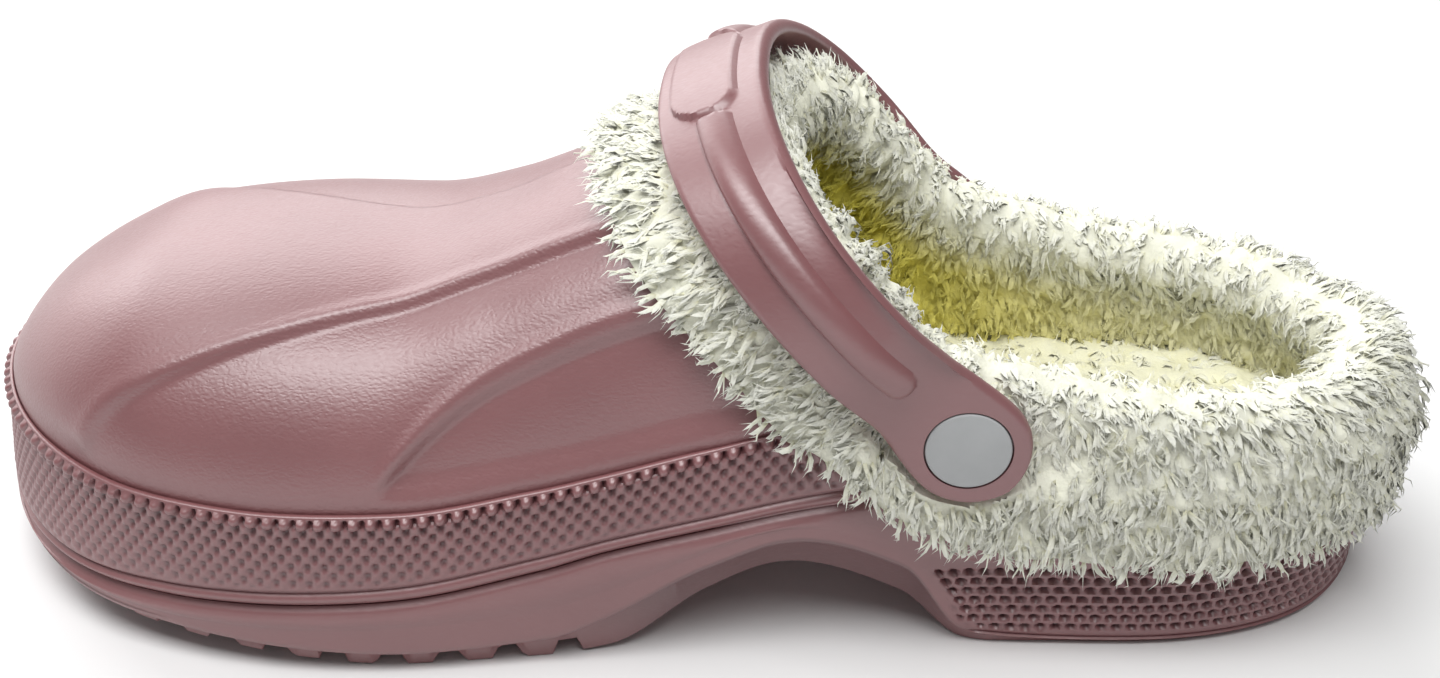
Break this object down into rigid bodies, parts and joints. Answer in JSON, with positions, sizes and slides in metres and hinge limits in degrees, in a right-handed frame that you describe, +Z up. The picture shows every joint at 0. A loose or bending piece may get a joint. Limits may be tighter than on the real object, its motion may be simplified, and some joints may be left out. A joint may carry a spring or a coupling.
{
  "type": "fleece-lined foam clog",
  "caption": "Left fleece-lined foam clog: moulded slip-on with a domed vamp, knurled side band, lugged sole, deep pile collar and a heel strap that swings on rivets.",
  "frame": {"origin": "on the floor, under the middle of the shoe's box", "axes": "+X towards the heel, -X towards the toe, +Y towards the inner side of the left foot, +Z up"},
  "size_m": [0.2774, 0.103, 0.1017],
  "materials": {
    "foam": "dusty pink moulded foam with a fine leathery grain and a soft satin sheen",
    "fleece": "ivory deep-pile fleece in short pointed locks",
    "button": "blank light grey hard plastic"
  },
  "bodies": {
    "shoe": {"sole": "foam", "upper": "foam", "fleece_insole": "fleece", "fleece_collar": "fleece", "rivet_lateral": "button", "rivet_medial": "button"},
    "strap": {"heel_strap": "foam"}
  },
  "joints": [
    {"name": "strap_swing", "type": "hinge", "parent": "shoe", "child": "strap", "pos_m": [0.04972, -0.00119, 0.0478], "axis": [0, 1, 0], "range_deg": [0, 108]}
  ]
}
